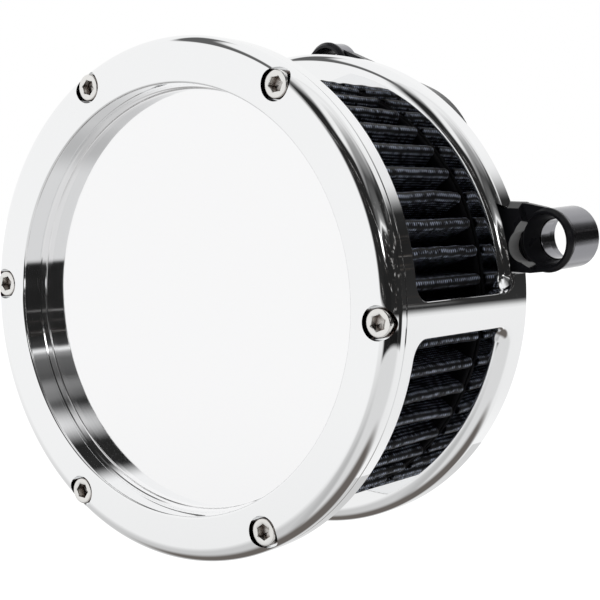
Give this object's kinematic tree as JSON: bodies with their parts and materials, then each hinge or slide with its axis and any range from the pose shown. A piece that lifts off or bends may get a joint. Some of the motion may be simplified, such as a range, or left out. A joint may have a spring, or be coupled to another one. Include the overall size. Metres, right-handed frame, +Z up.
{
  "type": "motorcycle air filter",
  "caption": "Round open-element motorcycle air filter: screwed cover ring and plate, slotted cage, pleated element and backing plate with two breather eyes.",
  "frame": {"origin": "centre of the cover plate's front face, on the filter's axis", "axes": "the filter's axis is Y, the cover faces -Y and the engine side faces +Y; +Z up, the right breather eye towards +X and the top one towards +Z"},
  "size_m": [0.2004, 0.104, 0.1858],
  "materials": {
    "chrome": "mirror-polished chrome plate",
    "satin_aluminium": "fine satin",
    "plated_steel": "turned and plated",
    "pleated_gauze": "oiled gauze under fine wire mesh",
    "moulded_urethane": "semi-matt moulded",
    "screen_steel": "perforated sheet, drawn solid",
    "black_anodised": "satin black anodised",
    "gasket_rubber": "matt"
  },
  "bodies": {
    "base": {"backing_plate": "black_anodised", "cage": "chrome", "intake_gasket": "gasket_rubber", "breather_sleeve_right": "satin_aluminium", "breather_sleeve_top": "satin_aluminium", "throttle_bolt_1": "plated_steel", "throttle_bolt_2": "plated_steel", "throttle_bolt_3": "plated_steel", "cage_screw_1": "plated_steel", "cage_screw_2": "plated_steel", "cage_screw_3": "plated_steel", "cage_screw_4": "plated_steel", "cage_screw_5": "plated_steel"},
    "cover": {"cover_ring": "chrome", "cover_plate": "satin_aluminium"},
    "element": {"filter_pleats": "pleated_gauze", "filter_front_cap": "moulded_urethane", "filter_rear_cap": "moulded_urethane", "filter_inner_screen": "screen_steel"},
    "screw_1": {"cover_screw_1": "plated_steel"},
    "screw_2": {"cover_screw_2": "plated_steel"},
    "screw_3": {"cover_screw_3": "plated_steel"},
    "screw_4": {"cover_screw_4": "plated_steel"},
    "screw_5": {"cover_screw_5": "plated_steel"},
    "screw_6": {"cover_screw_6": "plated_steel"}
  },
  "joints": [
    {"name": "cover_lift_off", "type": "slide", "parent": "base", "child": "cover", "axis": [0, -1, 0], "range_m": [0, 0.15]},
    {"name": "element_draw_out", "type": "slide", "parent": "base", "child": "element", "axis": [0, -1, 0], "range_m": [0, 0.075]},
    {"name": "screw_1_back_out", "type": "slide", "parent": "cover", "child": "screw_1", "axis": [0, -1, 0], "range_m": [0, 0.02]},
    {"name": "screw_2_back_out", "type": "slide", "parent": "cover", "child": "screw_2", "axis": [0, -1, 0], "range_m": [0, 0.02]},
    {"name": "screw_3_back_out", "type": "slide", "parent": "cover", "child": "screw_3", "axis": [0, -1, 0], "range_m": [0, 0.02]},
    {"name": "screw_4_back_out", "type": "slide", "parent": "cover", "child": "screw_4", "axis": [0, -1, 0], "range_m": [0, 0.02]},
    {"name": "screw_5_back_out", "type": "slide", "parent": "cover", "child": "screw_5", "axis": [0, -1, 0], "range_m": [0, 0.02]},
    {"name": "screw_6_back_out", "type": "slide", "parent": "cover", "child": "screw_6", "axis": [0, -1, 0], "range_m": [0, 0.02]}
  ],
  "couplings": [
    {"joint": "element_draw_out", "follows": "cover_lift_off", "ratio": 0.5}
  ]
}
